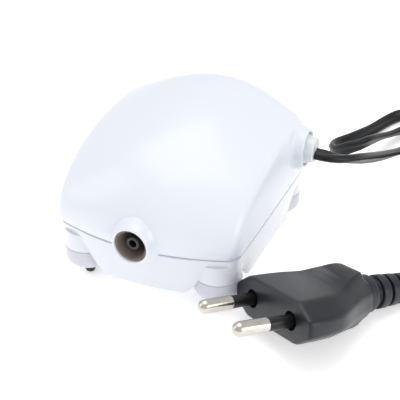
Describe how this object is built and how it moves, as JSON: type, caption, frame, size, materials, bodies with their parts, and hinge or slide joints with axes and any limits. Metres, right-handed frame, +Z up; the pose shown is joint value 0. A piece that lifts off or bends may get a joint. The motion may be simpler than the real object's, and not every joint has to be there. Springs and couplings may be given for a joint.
{
  "type": "aquarium air pump",
  "caption": "Domed electromagnetic diaphragm air pump on soft feet, with a front air outlet, a flat mains lead and a two-pin plug.",
  "frame": {"origin": "centre of the pump's footprint, on the surface it stands on (lead and plug not counted)", "axes": "+Z up; the air outlet faces -Y, the mains lead leaves on +X"},
  "size_m": [0.1532, 0.181, 0.0492],
  "materials": {
    "casing_white": "smooth gloss moulding with a fine satin break-up",
    "base_white": "gloss moulding",
    "boot_grey": "soft pale grey thermoplastic rubber, semi-matt",
    "tip_black": "black rubber, matt",
    "grommet_rubber": "brown-grey moulded rubber, matt",
    "nozzle_black": "black moulded nozzle",
    "inner_plastic": "natural moulded plastic",
    "gasket_rubber": "black rubber",
    "screw_steel": "zinc-plated steel",
    "ferrite": "sintered ferrite, matt dark grey",
    "core_steel": "stacked steel laminations",
    "copper_wire": "enamelled copper wire",
    "felt": "white felt",
    "gland_clear": "pale milky moulded plastic",
    "lead_black": "black flexible PVC, satin",
    "plug_black": "black moulded PVC, fine satin texture",
    "sleeve_black": "black pin insulation",
    "pin_nickel": "nickel-plated brass pins"
  },
  "bodies": {
    "pump": {"top_casing": "casing_white", "bottom_casing": "base_white", "foot_boot_front_left": "boot_grey", "foot_boot_front_right": "boot_grey", "foot_boot_rear_left": "boot_grey", "foot_boot_rear_right": "boot_grey", "foot_tip_front_left": "tip_black", "foot_tip_front_right": "tip_black", "foot_tip_rear_left": "tip_black", "foot_tip_rear_right": "tip_black", "casing_screws": "screw_steel", "outlet_grommet": "grommet_rubber", "outlet_nozzle": "nozzle_black", "valve_housing": "inner_plastic", "housing_screws": "screw_steel", "valve_plate": "inner_plastic", "valve_gasket": "gasket_rubber", "pump_chamber": "inner_plastic", "diaphragm": "gasket_rubber", "clamp_ring": "inner_plastic", "chamber_screws": "screw_steel", "pivot_pin": "screw_steel", "pivot_clip": "screw_steel", "core_laminations": "core_steel", "coil_bobbin": "inner_plastic", "coil_winding": "copper_wire", "core_screws": "screw_steel", "chassis_tray": "inner_plastic", "chassis_screws": "screw_steel", "lead_wires": "lead_black", "intake_felt": "felt", "filter_cover": "base_white", "cord_gland": "gland_clear", "power_cord": "lead_black", "cord_coil": "lead_black", "plug_lead": "lead_black", "plug_body": "plug_black", "pin_sleeve_left": "sleeve_black", "pin_sleeve_right": "sleeve_black", "plug_pin_left": "pin_nickel", "plug_pin_right": "pin_nickel"},
    "arm": {"swing_arm": "screw_steel", "pivot_bush": "gasket_rubber", "magnet_holder": "inner_plastic", "magnet_left": "ferrite", "magnet_right": "ferrite", "diaphragm_screw": "screw_steel", "diaphragm_washer": "screw_steel"},
    "inlet_valve": {"inlet_flap": "gasket_rubber"},
    "outlet_valve": {"outlet_flap": "gasket_rubber"}
  },
  "joints": [
    {"name": "arm_swing", "type": "hinge", "parent": "pump", "child": "arm", "pos_m": [-0.01615, -0.02385, 0.022], "axis": [0, 0, 1], "range_deg": [-2.5, 2.5], "stiffness_Nm_per_rad": 0.05, "deforming": ["diaphragm"]},
    {"name": "inlet_flap_hinge", "type": "hinge", "parent": "pump", "child": "inlet_valve", "pos_m": [-0.00665, -0.01185, 0.029], "axis": [0, 1, 0], "range_deg": [0, 15], "stiffness_Nm_per_rad": 0.0005},
    {"name": "outlet_flap_hinge", "type": "hinge", "parent": "pump", "child": "outlet_valve", "pos_m": [-0.00445, -0.01185, 0.0196], "axis": [0, -1, 0], "range_deg": [0, 15], "stiffness_Nm_per_rad": 0.0005}
  ]
}
